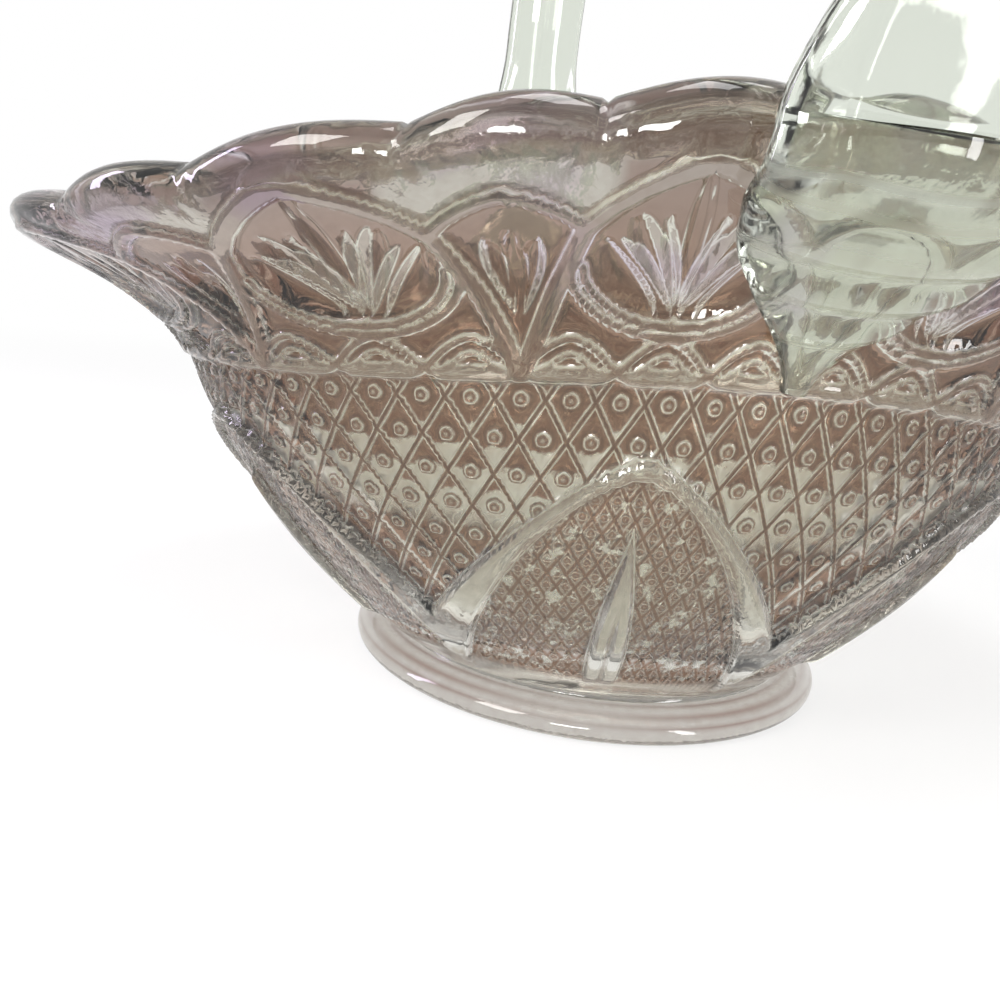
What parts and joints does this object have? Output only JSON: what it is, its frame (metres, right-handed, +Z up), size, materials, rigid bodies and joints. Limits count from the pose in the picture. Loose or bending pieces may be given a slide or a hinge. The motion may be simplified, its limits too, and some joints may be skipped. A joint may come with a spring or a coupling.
{
  "type": "handled glass basket",
  "caption": "Pressed glass basket: footed oval bowl with diamond and arch relief, flared scalloped rim and an applied arched handle crimped to the wall.",
  "frame": {"origin": "centre of the foot's underside, on the surface that the basket stands on", "axes": "+Z up, +X along the handle's span, from root to root, +Y across the handle"},
  "size_m": [0.163, 0.1776, 0.188],
  "materials": {
    "bowl_glass": "gloss",
    "foot_glass": "gloss",
    "handle_glass": "gloss"
  },
  "bodies": {
    "root": {"bowl": "bowl_glass", "foot": "foot_glass", "handle": "handle_glass"}
  },
  "joints": []
}
